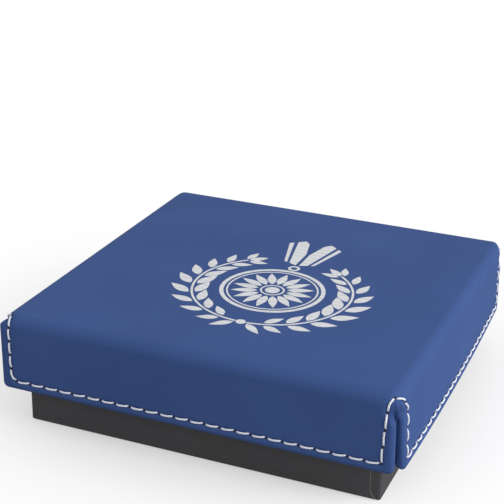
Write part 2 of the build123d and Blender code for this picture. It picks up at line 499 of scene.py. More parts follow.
lining = new_piece("lid_lining_cloth", lining_mesh(), lining_material(), smooth_angle=30)
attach(lining, "lid")
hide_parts("lid_lining")

# Lid cover: one cross-shaped sheet of padded laserable leatherette, a matt synthetic leather. Its four
# flaps fold down over soft shoulders, their raw edges are turned under round the boards, and a slot at each
# corner lets them spring.
LIP = 1.05
HEM_CORNER = 1.5
# The corners' rounding in plan, the slots' heads and how softly each slot opens, by corner: front left,
# front right, back right and back left. A slot that is hardly open counts as closed.
PLAN_RADII = (5.0, 5.0, 7.0, 5.0)
PLAN_CURVE = 1.5
SLOT_HEADS = (18.2, 16.2, 16.2, 16.2)
SLOT_BLENDS = (1.8, 4.8, 4.0, 4.0)
HARDLY_OPEN = 0.01
# How far each flap's end stands back from the corner, at the foot and at the head of the slot. The front
# flap's left end stands a little past it.
WIDE_GAPS = (0.75, 1.1)
SIDE_GAPS = (3.5, 3.1)
SLOT_GAPS = {("front", -1): (-0.2, -0.4)}
# How much the padded hem hangs below each flap's cut length.
FOOT_SAG = {"front": 0.6, "back": 0.6, "right": 1.1, "left": 0.8}
SAG_REACH = 10.0
MITRE = math.pi / 4
NEARLY_NOTHING = 1e-6

fold_length = straight + SHOULDER * math.pi / 2
flap_breadth = lid_half[0]


def smooth(value):
    """An even ramp from 0 to 1, level at both ends."""
    value = min(1.0, max(0.0, value))
    return value * value * (3 - 2 * value)


def fold(length):
    """The flap's cross-section, by the length up from its lower edge: inward, height and lean of its face."""
    lean = max(0.0, (length - straight) / SHOULDER)
    if lean == 0.0:
        return 0.0, length, 0.0
    return SHOULDER * (1 - math.cos(lean)), straight + SHOULDER * math.sin(lean), lean


def corner_of(flap, side):
    """The number of the corner at one side of a flap."""
    return (FLAPS.index(flap) + (side > 0)) % 4


def flap_end(flap, side, length):
    """The flap's end at one level: how open the slot is, where the face ends, its radius and its turn."""
    corner = corner_of(flap, side)
    inward, _, lean = fold(length)
    opening = smooth((SLOT_HEADS[corner] - length) / SLOT_BLENDS[corner])
    opening = opening if opening > HARDLY_OPEN else 0.0
    offset = SHOULDER * math.cos(lean)
    plan = offset * (1 - (1 - PLAN_RADII[corner] / SHOULDER) * (offset / SHOULDER) ** PLAN_CURVE)
    usual = WIDE_GAPS if flap["name"] in ("front", "back") else SIDE_GAPS
    foot, head = SLOT_GAPS.get((flap["name"], side), usual)
    gap = blend(foot, head, min(1.0, length / SLOT_HEADS[corner]))
    closed = inward + plan * (1 - math.cos(MITRE))
    return opening, blend(closed, gap, opening), blend(plan, LIP, opening), blend(MITRE, math.pi / 2, opening)


def foot_sag(flap, length):
    """How far the padded hem hangs down at one level."""
    return FOOT_SAG[flap["name"]] * smooth(1 - length / SAG_REACH)


def flap_ways(flap):
    """The directions along a flap and out of it."""
    return Vector((*flap["along"], 0)), Vector((*flap["out"], 0))


def sunk(radius, swing):
    """How far a round edge has fallen away, by how far past its start it is."""
    return radius - math.sqrt(max(0.0, radius * radius - swing * swing))


def cover_spot(flap, side, distance, length):
    """A point of the cover's outer face and its outward direction. It lies a distance in from the corner's
    plane at one side of a flap, and a length up from the flap's lower edge."""
    along, out = flap_ways(flap)
    breadth, reach = flap_half(flap)
    inward, height, lean = fold(length)
    _, end, radius, turn = flap_end(flap, side, length)
    swing = max(0.0, radius * math.sin(turn) - (distance - end))
    from_middle = side * (breadth - distance)
    facing = math.asin(min(1.0, swing / radius)) if radius > NEARLY_NOTHING else 0.0
    plan_way = out * math.cos(facing) + along * side * math.sin(facing)
    way = plan_way * math.cos(lean) + Vector((0, 0, math.sin(lean)))
    spot = along * from_middle + out * (reach - inward - sunk(radius, swing) + bow(flap, from_middle, height))
    spot.z = lid_bottom + height - foot_sag(flap, length)
    return spot, way


# The seam draws the cover into a shallow groove along each flap's foot, up beside each slot and over the
# slot's head. Each line gives the seam's distance in from the corner's plane, by its length up from the
# flap's foot, and meets the next flap's line at the corner's middle.
SEAM_RISE = 2.4
SEAM_HEADS = (19.6, 18.5, 18.5, 18.5)
SEAM_LINES = {
    ("front", 1): ((SEAM_RISE, 3.7), (6.6, 3.45), (10.7, 3.2), (15.2, 2.95), (17.0, 2.7)),
    ("front", -1): ((SEAM_RISE, 3.9), (3.2, 3.0), (5.0, 2.6), (8.0, 2.45), (14.0, 2.4), (17.6, 2.4)),
    ("right", -1): ((SEAM_RISE, 5.7), (6.7, 5.9), (10.1, 6.3), (13.0, 6.1), (15.0, 5.2), (17.2, 3.5)),
}
SIDE_LINE = ((SEAM_RISE, 5.8), (6.7, 6.0), (10.1, 6.2), (13.0, 6.0), (15.0, 5.0), (17.0, 3.4))
RISE_STEPS = 12
FOOT_STEPS = 90
MARK_STEP = 0.1
# The groove, and the padded hem's swell beside it: how deep or high, how wide, and how far from the seam.
GROOVE_DEPTH = 0.3
GROOVE_HALF = 0.5
PUFF = 0.16
PUFF_HALF = 0.7
PUFF_PLACE = 1.15


def seam_line_of(flap, side):
    """The seam's line beside one end of a flap, up to where it meets the next flap's."""
    usual = SEAM_LINES["front", 1] if flap["name"] in ("front", "back") else SIDE_LINE
    head = SEAM_HEADS[corner_of(flap, side)]
    return (*SEAM_LINES.get((flap["name"], side), usual), (head, flap_end(flap, side, head)[1]))


def through(points, steps):
    """A smooth line through points given in one plane, with so many steps between each two."""
    padded = [points[0], *points, points[-1]]
    line = []
    for near in zip(padded, padded[1:], padded[2:], padded[3:]):
        for t in even(0.0, 1.0, steps)[:-1]:
            weights = (-t + 2 * t * t - t ** 3, 2 - 5 * t * t + 3 * t ** 3,
                       t + 4 * t * t - 3 * t ** 3, t ** 3 - t * t)
            line.append(tuple(sum(w * p[axis] for w, p in zip(weights, near)) / 2 for axis in (0, 1)))
    return line + [points[-1]]


def rising_path(flap, side):
    """The seam up one end of a flap, from its foot to the next flap's seam over the slot's head."""
    line = through(seam_line_of(flap, side), RISE_STEPS)
    return [cover_spot(flap, side, distance, length) for length, distance in line]


def foot_path(flap):
    """The seam along one flap's foot."""
    breadth = flap_half(flap)[0]
    start, end = (side * (breadth - seam_line_of(flap, side)[0][1]) for side in (-1, 1))
    return [cover_spot(flap, -1 if place < 0 else 1, breadth - abs(place), SEAM_RISE)
            for place in even(start, end, FOOT_STEPS)]


seam_runs = []
for flap in FLAPS:
    seam_runs += [rising_path(flap, -1)[::-1], foot_path(flap), rising_path(flap, 1)]
seam_marks = []
for seam_run in seam_runs:
    for (here, _), (there, _) in zip(seam_run, seam_run[1:]):
        pieces = max(1, round((there - here).length / MARK_STEP))
        seam_marks += [here.lerp(there, i / pieces) for i in range(pieces)]
seam_tree = kdtree.KDTree(len(seam_marks))
for number, mark in enumerate(seam_marks):
    seam_tree.insert(mark, number)
seam_tree.balance()


def pull(flap, side, distance, length, spot):
    """How far the stitching draws the cover in, less how far the padded hem beside it stands up."""
    across = seam_tree.find(spot)[2]
    line = seam_line_of(flap, side)
    in_hem = length < SEAM_RISE
    for (low, start), (high, end) in zip(line, line[1:]):
        if low <= length < high:
            in_hem = distance < blend(start, end, (length - low) / (high - low))
    groove = GROOVE_DEPTH * math.exp(-((across / GROOVE_HALF) ** 2))
    swell = PUFF * math.exp(-(((across - PUFF_PLACE) / PUFF_HALF) ** 2)) if in_hem else 0.0
    return groove - swell


# Each flap's grid: lanes in from its two ends and levels up from its foot, close together at the lips,
# where the cover is turned under, near the seam and on the shoulder. Up to the hem lane the inner face is
# turned under.
HEM_LANE = 3.4
SEAM_LANE = 6.9
LANE_STEP = 0.3
WIDE_LANE_STEP = 0.9
TURN_LEVELS = (TURNED_EDGE, TURNED_EDGE + 0.04)
TURN_STEP = 0.2
FLAT_LEVELS = (3.4, 11.4)
FLAT_STEP = 0.8
SHOULDER_STEP = 0.4
LIP_STEPS = 6
# Over what lengths the groove ends at an open slot's lip, the turned edge ends below the shoulder and at the
# hem's corner, and the slot's opening is made up in from the flap's end.
GROOVE_START, GROOVE_FADE = 0.2, 0.9
HEM_PAST, HEM_FADE = 1.0, 3.0
CORNER_FADE = 0.6
SLOT_FADE = 3.0


def run_of(start, end, step):
    """Even values from start up to end, without the end."""
    return even(start, end, max(1, round((end - start) / step)))[:-1]


lip_steps = [LIP * (1 - math.cos(math.radians(turn))) for turn in even(0, 90, LIP_STEPS)[:-1]]
half_lanes = lip_steps + run_of(LIP, SEAM_LANE, LANE_STEP) + run_of(SEAM_LANE, flap_breadth, WIDE_LANE_STEP)
lanes = [(-1, lane) for lane in half_lanes] + [(1, lane) for lane in [flap_breadth] + half_lanes[::-1]]
levels = lip_steps + run_of(LIP, TURNED_EDGE, TURN_STEP) + [*TURN_LEVELS]
levels += run_of(*FLAT_LEVELS, FLAT_STEP) + run_of(FLAT_LEVELS[1], fold_length, SHOULDER_STEP) + [fold_length]


def grid_place(flap, side, lane, level):
    """Where a lane and a level of the grid cross, round the hem's corner: in from the flap's end, up from its
    foot, in from the nearest edge, and how the flap ends there."""
    opening, end, radius, turn = flap_end(flap, side, level)
    edge, length = lane * (1 - end / flap_breadth), level
    from_edge = min(edge, level)
    if lane < HEM_CORNER and level < HEM_CORNER:
        across, down = 1 - lane / HEM_CORNER, 1 - level / HEM_CORNER
        round_x, round_y = across * math.sqrt(1 - down * down / 2), down * math.sqrt(1 - across * across / 2)
        edge, length = HEM_CORNER * (1 - round_x), HEM_CORNER * (1 - round_y)
        from_edge = HEM_CORNER * (1 - math.hypot(round_x, round_y))
        _, end, radius, turn = flap_end(flap, side, length)
    return edge, length, from_edge, (opening, end, radius, turn)


def lip_depth(from_edge):
    """How far the rolled lip has sunk, by the distance in from its edge."""
    return sunk(LIP, max(0.0, LIP - from_edge))


def outer_spot(flap, side, lane, level):
    """A point of the cover's outer face, rolled in at the lip and drawn in by the stitching."""
    edge, length, from_edge, (opening, end, _, _) = grid_place(flap, side, lane, level)
    distance = end + edge
    spot, way = cover_spot(flap, side, distance, length)
    if level < HEM_CORNER:
        out = flap_ways(flap)[1]
        level_face = (cover_spot(flap, side, distance + LIP, length)[0] - spot).dot(out)
        level_face += bow(flap, side * (flap_breadth - distance), length)
        level_face -= bow(flap, side * (flap_breadth - distance - LIP), length)
        spot += out * (level_face - lip_depth(from_edge))
    settled = blend(1.0, smooth((from_edge - GROOVE_START) / GROOVE_FADE), opening)
    return spot - way * pull(flap, side, distance, length, spot) * settled


def inner_spot(flap, side, lane, level):
    """A point of the cover's inner face, turned under round the board at the foot and at an open slot."""
    edge, length, from_edge, (opening, end, radius, turn) = grid_place(flap, side, lane, level)
    distance = end + edge
    hem = smooth(level / LIP) * smooth((straight + HEM_PAST - level) / HEM_FADE)
    hem *= smooth(from_edge / CORNER_FADE) if max(lane, level) < HEM_CORNER else 1.0
    if lane <= HEM_LANE:
        turned = end + edge * (SIDE_HEM - end) / (HEM_LANE * (1 - end / flap_breadth))
        distance = blend(distance, turned, hem)
    thick = 2 * LIP - lip_depth(from_edge)
    thick += (FLAP_THICKNESS - 2 * LIP) * smooth((from_edge - LIP) / (TURNED_EDGE - LIP))
    if lane > HEM_LANE and level > TURNED_EDGE:
        thick = LEATHERETTE
    inward, height, lean = fold(length)
    depth = blend(LEATHERETTE, thick, opening)
    mitre = inward + LEATHERETTE * math.cos(lean)
    start = blend(mitre, end + radius * math.sin(turn) - radius, opening)
    distance += (start - end) * max(0.0, 1 - lane / SLOT_FADE)
    along, out = flap_ways(flap)
    from_middle = side * (flap_breadth - distance)
    reach = flap_half(flap)[1] - inward - depth * math.cos(lean) + bow(flap, from_middle, height)
    spot = along * from_middle + out * reach
    spot.z = lid_bottom + height - depth * math.sin(lean) - foot_sag(flap, length)
    return spot


def cover_mesh():
    """The four flaps, outside and in, the lips that close them round the slots, and the flat top."""
    bm = bmesh.new()
    for flap in FLAPS:
        outer, inner = (
            [[bm.verts.new(face_spot(flap, side, lane, level)) for side, lane in lanes] for level in levels]
            for face_spot in (outer_spot, inner_spot)
        )
        skin(bm, outer)
        skin(bm, inner)
        for end, side in ((0, -1), (-1, 1)):
            open_share = [flap_end(flap, side, level)[0] for level in levels]
            for row in range(len(levels) - 1):
                if open_share[row] > 0.0 and open_share[row + 1] < 1.0:
                    bm.faces.new((outer[row][end], outer[row + 1][end], inner[row + 1][end], inner[row][end]))
    top_end = flap_end(FLAPS[0], 1, fold_length)[1]
    cuts = [side * (flap_breadth - top_end - lane * (1 - top_end / flap_breadth)) for side, lane in lanes]
    sheet = [[bm.verts.new((x, y, lid_top)) for y in cuts] for x in cuts]
    skin(bm, sheet)
    bm.faces.new([bm.verts.new((v.co.x, v.co.y, lid_top - LEATHERETTE)) for v in border(sheet)])
    return bm


def reckon(tree, operation, *values):
    """What one Math node makes of its values."""
    return add(tree, "ShaderNodeMath", dict(enumerate(values)), operation=operation).outputs[0]


def leatherette_material():
    """Laserable leatherette: a matt polyurethane skin, a fine pebble grain and shallow creases in patches."""
    material, tree, shader, place = new_material("leatherette_blue_matt")
    pebble = add(tree, "ShaderNodeTexVoronoi", {"Vector": place, "Scale": per_mm(0.6)}, feature="SMOOTH_F1")
    fine = mottle(tree, place, size=0.35, Detail=3.0)
    drawn = add(tree, "ShaderNodeMapping",
                {"Vector": place, "Rotation": (0.0, 0.0, 0.35), "Scale": (0.45, 1.0, 1.0)}).outputs["Vector"]
    crease = mottle(tree, drawn, size=4.0, Detail=3.0, Roughness=0.5, Distortion=0.8)
    beside = reckon(tree, "ABSOLUTE", reckon(tree, "SUBTRACT", crease, 0.5))
    lines = add(tree, "ShaderNodeMapRange", {"Value": beside, "From Min": 0.0, "From Max": 0.06},
                interpolation_type="SMOOTHSTEP")
    cloud = mottle(tree, place, size=26.0, Detail=2.0)
    patch = add(tree, "ShaderNodeMapRange", {"Value": cloud, "From Min": 0.42, "From Max": 0.6})
    creased = reckon(tree, "MULTIPLY", lines.outputs["Result"], patch.outputs["Result"])
    low = relief(tree, creased, strength=0.3, depth=0.1)
    middle = relief(tree, pebble.outputs["Distance"], strength=0.28, depth=0.07, Normal=low)
    top = relief(tree, fine, strength=0.25, depth=0.04, Normal=middle)
    tone = two_tone(tree, cloud, "#395082", "#3D5488", start=0.3, end=0.7)
    finish(tree, shader, tone, roughness=0.6, normal=top, specular=0.04)
    return material


leatherette = leatherette_material()
cover = new_piece("lid_cover_leatherette", cover_mesh(), leatherette, smooth_angle=60)
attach(cover, "lid")
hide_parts("lid_cover")

# Seam thread: white two-ply polyester, one lockstitch run round the flaps and over the slots. Every stitch
# lies in the groove, slants a little across it and dives at both ends into its needle holes.
STITCH = 3.95
STITCH_STEPS = 12
PLY_TURNS = 3.0
THREAD_SIDES = 6
SEWING = {
    "Thread Radius": 0.25 * MM,
    "Rise": 0.1 * MM,
    "Dive": 1.0 * MM,
    "Flatness": 3.5,
    "Slant": 0.3 * MM,
    "Stray": 0.2 * MM,
    "Hole Radius": 0.34 * MM,
    "Seed": 7,
}
# A needle hole's cup: its sides, how deep it is, how low it lies, and how it is drawn out along the seam.
HOLE_SIDES = 8
HOLE_DEPTH = 0.2
HOLE_LOW = 0.12
HOLE_STRETCH = (1.15, 0.85, 1.0)
# A run's stitches are cut this little bit short, so that the last one isn't lost to rounding.
JUST_UNDER = 0.9999


def thread_material():
    """White polyester sewing thread: two plies twisted together, softly glossy, with painted shade making it
    darker and bluer down in the twist.
    """
    material, tree, shader, _ = new_material("thread_polyester_white")
    ply = add(tree, "ShaderNodeAttribute", attribute_name="ply")
    parts = add(tree, "ShaderNodeSeparateXYZ", {"Vector": ply.outputs["Vector"]}).outputs
    angle = reckon(tree, "ARCTAN2", parts["Y"], parts["X"])
    wound = reckon(tree, "MULTIPLY_ADD", parts["Z"], PLY_TURNS * 2 * math.pi, angle)
    wave = reckon(tree, "SINE", reckon(tree, "MULTIPLY", wound, 2.0))
    # Painted shade: near white on the plies, a darker blue-grey down in the twist between them.
    tone = add(tree, "ShaderNodeMapRange", {"Value": wave, "From Min": -1.0, "From Max": 0.2})
    colour = add(tree, "ShaderNodeMix",
                 {"Factor": tone.outputs["Result"], "A": linear("#BFC4D8"), "B": linear("#F4F5FB")},
                 data_type="RGBA").outputs["Result"]
    finish(tree, shader, colour, roughness=0.45, normal=relief(tree, wave, strength=0.5, depth=0.06))
    return material


def painted_hole_shade_material():
    """Painted shade for the inside of a needle hole: leatherette pierced through, too deep to catch the
    light, drawn near-black blue.
    """
    material, tree, shader, place = new_material("needle_hole_painted_shade")
    burr = mottle(tree, place, size=0.2)
    finish(tree, shader, two_tone(tree, burr, "#0B0F1E", "#151D38"), roughness=0.8)
    return material


def named(tree, name, kind="FLOAT_VECTOR"):
    """What was kept under a name."""
    return add(tree, "GeometryNodeInputNamedAttribute", {"Name": name}, data_type=kind).outputs["Attribute"]


def stored(tree, geometry, name, value, kind="FLOAT_VECTOR"):
    """The geometry with a value kept on it under a name."""
    return add(tree, "GeometryNodeStoreNamedAttribute", {"Geometry": geometry, "Name": name, "Value": value},
               data_type=kind).outputs["Geometry"]


def vector_sum(tree, operation, first, second):
    """What one Vector Math node makes of two values."""
    other = "Scale" if operation == "SCALE" else 1
    return add(tree, "ShaderNodeVectorMath", {0: first, other: second}, operation=operation).outputs["Vector"]


def stitch_offset(tree, given, along):
    """How the thread leaves the seam's line, by how many stitches along it is: up a little between the holes,
    down into them, and aslant by an amount of each stitch's own."""
    outward = named(tree, "outward")
    tangent = add(tree, "GeometryNodeInputTangent").outputs["Tangent"]
    swing = reckon(tree, "MULTIPLY_ADD", reckon(tree, "FRACT", along), 2.0, -1.0)
    diving = reckon(tree, "POWER", reckon(tree, "ABSOLUTE", swing), given["Flatness"])
    fall = reckon(tree, "MULTIPLY", diving, reckon(tree, "ADD", given["Rise"], given["Dive"]))
    lift = vector_sum(tree, "SCALE", outward, reckon(tree, "SUBTRACT", given["Rise"], fall))
    least = reckon(tree, "SUBTRACT", given["Slant"], given["Stray"])
    most = reckon(tree, "ADD", given["Slant"], given["Stray"])
    lean = add(tree, "FunctionNodeRandomValue",
               {2: least, 3: most, "ID": reckon(tree, "FLOOR", along), "Seed": given["Seed"]},
               data_type="FLOAT").outputs[1]
    aside = reckon(tree, "MULTIPLY", reckon(tree, "MULTIPLY", swing, lean), 0.5)
    shift = vector_sum(tree, "SCALE", vector_sum(tree, "CROSS_PRODUCT", outward, tangent), aside)
    return vector_sum(tree, "ADD", lift, shift)


def thread_section(tree, given):
    """The thread's round section, with its own turn kept for the twist of the plies."""
    ring = add(tree, "GeometryNodeCurvePrimitiveCircle",
               {"Resolution": THREAD_SIDES, "Radius": given["Thread Radius"]})
    share = add(tree, "GeometryNodeSplineParameter").outputs["Factor"]
    turn = reckon(tree, "MULTIPLY", share, 2 * math.pi)
    around = add(tree, "ShaderNodeCombineXYZ",
                 {"X": reckon(tree, "COSINE", turn), "Y": reckon(tree, "SINE", turn)})
    return stored(tree, ring.outputs["Curve"], "around", around.outputs[0])


def sewn_thread(tree, given, line, thread):
    """The thread: its section swept along the seam's line, with what the plies' twist needs kept on it."""
    own = named(tree, "stitch", "FLOAT")
    step = reckon(tree, "DIVIDE", own, STITCH_STEPS)
    fine = add(tree, "GeometryNodeResampleCurve", {"Curve": line, "Length": step}, mode="LENGTH")
    run = add(tree, "GeometryNodeSplineParameter").outputs["Length"]
    counted = stored(tree, fine.outputs["Curve"], "along", reckon(tree, "DIVIDE", run, own), "FLOAT")
    along = named(tree, "along", "FLOAT")
    laid = add(tree, "GeometryNodeSetPosition",
               {"Geometry": counted, "Offset": stitch_offset(tree, given, along)}).outputs["Geometry"]
    tube = add(tree, "GeometryNodeCurveToMesh",
               {"Curve": laid, "Profile Curve": thread_section(tree, given), "Fill Caps": True})
    parts = add(tree, "ShaderNodeSeparateXYZ", {"Vector": named(tree, "around")}).outputs
    ply = add(tree, "ShaderNodeCombineXYZ", {"X": parts["X"], "Y": parts["Y"], "Z": along}).outputs[0]
    twisted = stored(tree, tube.outputs["Mesh"], "ply", ply)
    soft = add(tree, "GeometryNodeSetShadeSmooth", {"Geometry": twisted}).outputs["Geometry"]
    return add(tree, "GeometryNodeSetMaterial", {"Geometry": soft, "Material": thread}).outputs["Geometry"]


def needle_holes(tree, given, line, hole):
    """The needle holes: a dished cup at each stitch's end, laid along the seam and facing out, coloured with
    painted shade.
    """
    pitch = named(tree, "stitch", "FLOAT")
    spaced = add(tree, "GeometryNodeResampleCurve", {"Curve": line, "Length": pitch}, mode="LENGTH")
    index = add(tree, "GeometryNodeInputIndex").outputs["Index"]
    onward = add(tree, "GeometryNodeOffsetPointInCurve", {"Point Index": index, "Offset": 1})
    tangent = add(tree, "GeometryNodeInputTangent").outputs["Tangent"]
    lay = add(tree, "FunctionNodeAxesToRotation",
              {"Primary Axis": named(tree, "outward"), "Secondary Axis": tangent},
              primary_axis="Z", secondary_axis="X")
    cup = add(tree, "GeometryNodeMeshCone",
              {"Vertices": HOLE_SIDES, "Radius Top": 0.0, "Radius Bottom": given["Hole Radius"],
               "Depth": HOLE_DEPTH * MM}, fill_type="TRIANGLE_FAN").outputs["Mesh"]
    dished = add(tree, "GeometryNodeTransform",
                 {"Geometry": cup, "Translation": (0.0, 0.0, -HOLE_LOW * MM), "Rotation": (math.pi, 0.0, 0.0),
                  "Scale": HOLE_STRETCH})
    holes = add(tree, "GeometryNodeInstanceOnPoints",
                {"Points": spaced.outputs["Curve"], "Selection": onward.outputs["Is Valid Offset"],
                 "Instance": dished.outputs["Geometry"], "Rotation": lay.outputs["Rotation"]})
    pierced = add(tree, "GeometryNodeRealizeInstances", {"Geometry": holes.outputs["Instances"]})
    # The holes' cups carry painted shade, a near-black blue.
    return add(tree, "GeometryNodeSetMaterial",
               {"Geometry": pierced.outputs["Geometry"], "Material": hole}).outputs["Geometry"]


def seam_tree_nodes(thread, hole):
    """The stitching: a thread that follows the seam's line and dives once a stitch, a hole in painted shade
    at each dive.
    """
    tree = bpy.data.node_groups.new("lockstitch_run", "GeometryNodeTree")
    sockets = tree.interface
    sockets.new_socket("Geometry", in_out="INPUT", socket_type="NodeSocketGeometry")
    for name in SEWING:
        kind = "NodeSocketInt" if name == "Seed" else "NodeSocketFloat"
        sockets.new_socket(name, in_out="INPUT", socket_type=kind)
    sockets.new_socket("Geometry", in_out="OUTPUT", socket_type="NodeSocketGeometry")
    given = add(tree, "NodeGroupInput").outputs
    line = add(tree, "GeometryNodeMeshToCurve", {"Mesh": given["Geometry"]}).outputs["Curve"]
    whole = add(tree, "GeometryNodeJoinGeometry")
    tree.links.new(sewn_thread(tree, given, line, thread), whole.inputs["Geometry"])
    tree.links.new(needle_holes(tree, given, line, hole), whole.inputs["Geometry"])
    add(tree, "NodeGroupOutput", {"Geometry": whole.outputs["Geometry"]})
    return tree


def seam_line_mesh():
    """The seam's line as bare edges, each point with its outward direction and its run's own even stitch."""
    mesh = bpy.data.meshes.new("seam_line")
    points, edges, ways, lengths = [], [], [], []
    for seam_run in seam_runs:
        edges += [(len(points) + i, len(points) + i + 1) for i in range(len(seam_run) - 1)]
        points += [spot * MM for spot, _ in seam_run]
        ways += [tuple(way) for _, way in seam_run]
        whole = sum((there - here).length for (here, _), (there, _) in zip(seam_run, seam_run[1:]))
        lengths += [whole / round(whole / STITCH) * JUST_UNDER * MM] * len(seam_run)
    mesh.from_pydata(points, edges, [])
    stitch = mesh.attributes.new("stitch", "FLOAT", "POINT")
    for item, length in zip(stitch.data, lengths):
        item.value = length
    outward = mesh.attributes.new("outward", "FLOAT_VECTOR", "POINT")
    for item, way in zip(outward.data, ways):
        item.vector = way
    return mesh


seam_line = bpy.data.objects.new("seam_line", seam_line_mesh())
bpy.context.scene.collection.objects.link(seam_line)
sewing = seam_line.modifiers.new("lockstitch", "NODES")
sewing.node_group = seam_tree_nodes(thread_material(), painted_hole_shade_material())
for socket in sewing.node_group.interface.items_tree:
    if socket.in_out == "INPUT" and socket.name in SEWING:
        sewing[socket.identifier] = SEWING[socket.name]
stitched = seam_line.evaluated_get(bpy.context.evaluated_depsgraph_get())
seam_thread = bpy.data.objects.new("seam_thread", bpy.data.meshes.new_from_object(stitched))
bpy.context.scene.collection.objects.link(seam_thread)
bpy.data.objects.remove(seam_line)
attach(seam_thread, "lid")

# Engraving on the lid's top: the laser burns the blue skin away and lays bare the silver-grey layer under
# it. It shows a plain award design, a round rosette medal on a folded ribbon within a laurel wreath.
MEDAL = (4.0, -9.0)
SKIN_DEPTH = 0.05
MARK_RISE = 0.02
# The rosette, from its edge inwards: a rim, a thin ring, petals, a hub ring and a hub.
MEDAL_RADIUS = 13.6
RIM = (MEDAL_RADIUS - 1.1, MEDAL_RADIUS)
THIN_RING = (MEDAL_RADIUS - 2.2, MEDAL_RADIUS - 1.75)
PETALS = 16
PETAL_START = 3.8
PETAL_LENGTH = 6.9
PETAL_WIDTH = 2.3
HUB_RING = (2.7, 3.2)
HUB = 1.9
# The eyelet it hangs by and the right half of its ribbon, a broad band and its narrow fold.
EYELET = (0.9, 1.6)
EYELET_PLACE = (0, MEDAL_RADIUS + 1.9)
FOOT, HEAD = MEDAL_RADIUS + 4.2, MEDAL_RADIUS + 20.0
BAND = ((0.5, FOOT), (2.6, FOOT + 1.0), (5.6, HEAD), (3.7, HEAD + 1.4), (2.2, HEAD - 0.2), (0.5, FOOT + 8.2))
BAND_FOLD = ((3.4, FOOT + 1.2), (4.3, FOOT + 1.6), (7.6, HEAD - 1.6), (6.5, HEAD - 0.8))
# The wreath's right branch: its stem, its pairs of leaves, a leaf at its tip and one at its tie, and the
# berry that the two branches are tied with. Angles are in degrees round the medal's middle.
WREATH_RADIUS = 20.6
STEM_HALF = 0.3
STEM_ANGLES = (-86, 50)
LEAF_ANGLES = (-74, 50)
LEAF_PAIRS = 9
LEAF_LENGTH = 7.6
LEAF_WIDTH = 3.0
LEAF_SPLAY = 34
LEAF_OFFSET = 0.9
LEAF_SHRINK = 0.3
TIP_ANGLE = 51
TIP_SHARE = 0.7
END_LEAF_WIDTH = 2.2
TIE_LEAF_LENGTH = 6.2
TIE_LEAF_START = (1.7, -WREATH_RADIUS - 0.6)
TIE_LEAF_HEADING = 320
BERRY = 1.25


def plate(bm, outline):
    """One engraved patch: a thin closed plate of the layer below, by its outline round the medal's centre."""
    shells = [[bm.verts.new((MEDAL[0] + x, MEDAL[1] + y, height)) for x, y in outline]
              for height in (lid_top - SKIN_DEPTH, lid_top + MARK_RISE)]
    for shell in shells:
        bm.faces.new(shell)
    belt(bm, *shells)


def ring_plate(bm, radii, steps=96, centre=(0.0, 0.0)):
    """One engraved ring, by its inner and outer radius."""
    rings = []
    for radius in radii:
        for height in (lid_top - SKIN_DEPTH, lid_top + MARK_RISE):
            circle = arc(centre, radius, 0, 360, steps)[:-1]
            rings.append([(MEDAL[0] + x, MEDAL[1] + y, height) for x, y in circle])
    loop_rings(bm, [rings[0], rings[1], rings[3], rings[2]])


def around_medal(radius, angle):
    """A place by its distance from the medal's middle and its angle."""
    return radius * math.cos(math.radians(angle)), radius * math.sin(math.radians(angle))


def leaf(start, heading, length, width, steps=8):
    """A pointed leaf's outline from its stalk, its widest part a little before the middle."""
    shares = even(0, 1, steps)
    edge = [(share * length, width / 2 * math.sin(math.pi * share ** 0.8)) for share in shares]
    edge += [(x, -half) for x, half in edge[-2:0:-1]]
    cosine, sine = around_medal(1, heading)
    return [(start[0] + x * cosine - y * sine, start[1] + x * sine + y * cosine) for x, y in edge]


def branch():
    """The outlines of the ribbon's and the wreath's right half."""
    stem = arc((0, 0), WREATH_RADIUS + STEM_HALF, *STEM_ANGLES, 40)
    stem += arc((0, 0), WREATH_RADIUS - STEM_HALF, *STEM_ANGLES, 40)[::-1]
    outlines = [BAND, BAND_FOLD, stem]
    for pair, angle in enumerate(even(*LEAF_ANGLES, LEAF_PAIRS - 1)):
        size = 1 - LEAF_SHRINK * abs(2 * pair / (LEAF_PAIRS - 1) - 0.9)
        for way in (1, -1):
            start = around_medal(WREATH_RADIUS - way * LEAF_OFFSET, angle)
            outlines.append(leaf(start, angle + 90 + way * LEAF_SPLAY, LEAF_LENGTH * size, LEAF_WIDTH * size))
    tip = around_medal(WREATH_RADIUS, TIP_ANGLE)
    return outlines + [leaf(tip, TIP_ANGLE + 90, LEAF_LENGTH * TIP_SHARE, END_LEAF_WIDTH),
                       leaf(TIE_LEAF_START, TIE_LEAF_HEADING, TIE_LEAF_LENGTH, END_LEAF_WIDTH)]


def engraving_mesh():
    """The medal's rings and petals, its ribbon, and the two branches of the wreath."""
    bm = bmesh.new()
    ring_plate(bm, RIM)
    ring_plate(bm, THIN_RING)
    ring_plate(bm, HUB_RING, steps=48)
    plate(bm, arc((0, 0), HUB, 0, 360, 32)[:-1])
    for heading in even(0, 360, PETALS)[:-1]:
        plate(bm, leaf(around_medal(PETAL_START, heading), heading, PETAL_LENGTH, PETAL_WIDTH))
    ring_plate(bm, EYELET, steps=32, centre=EYELET_PLACE)
    for way in (1, -1):
        for outline in branch():
            plate(bm, [(way * x, y) for x, y in outline])
    plate(bm, arc((0, -WREATH_RADIUS), BERRY, 0, 360, 24)[:-1])
    return bm


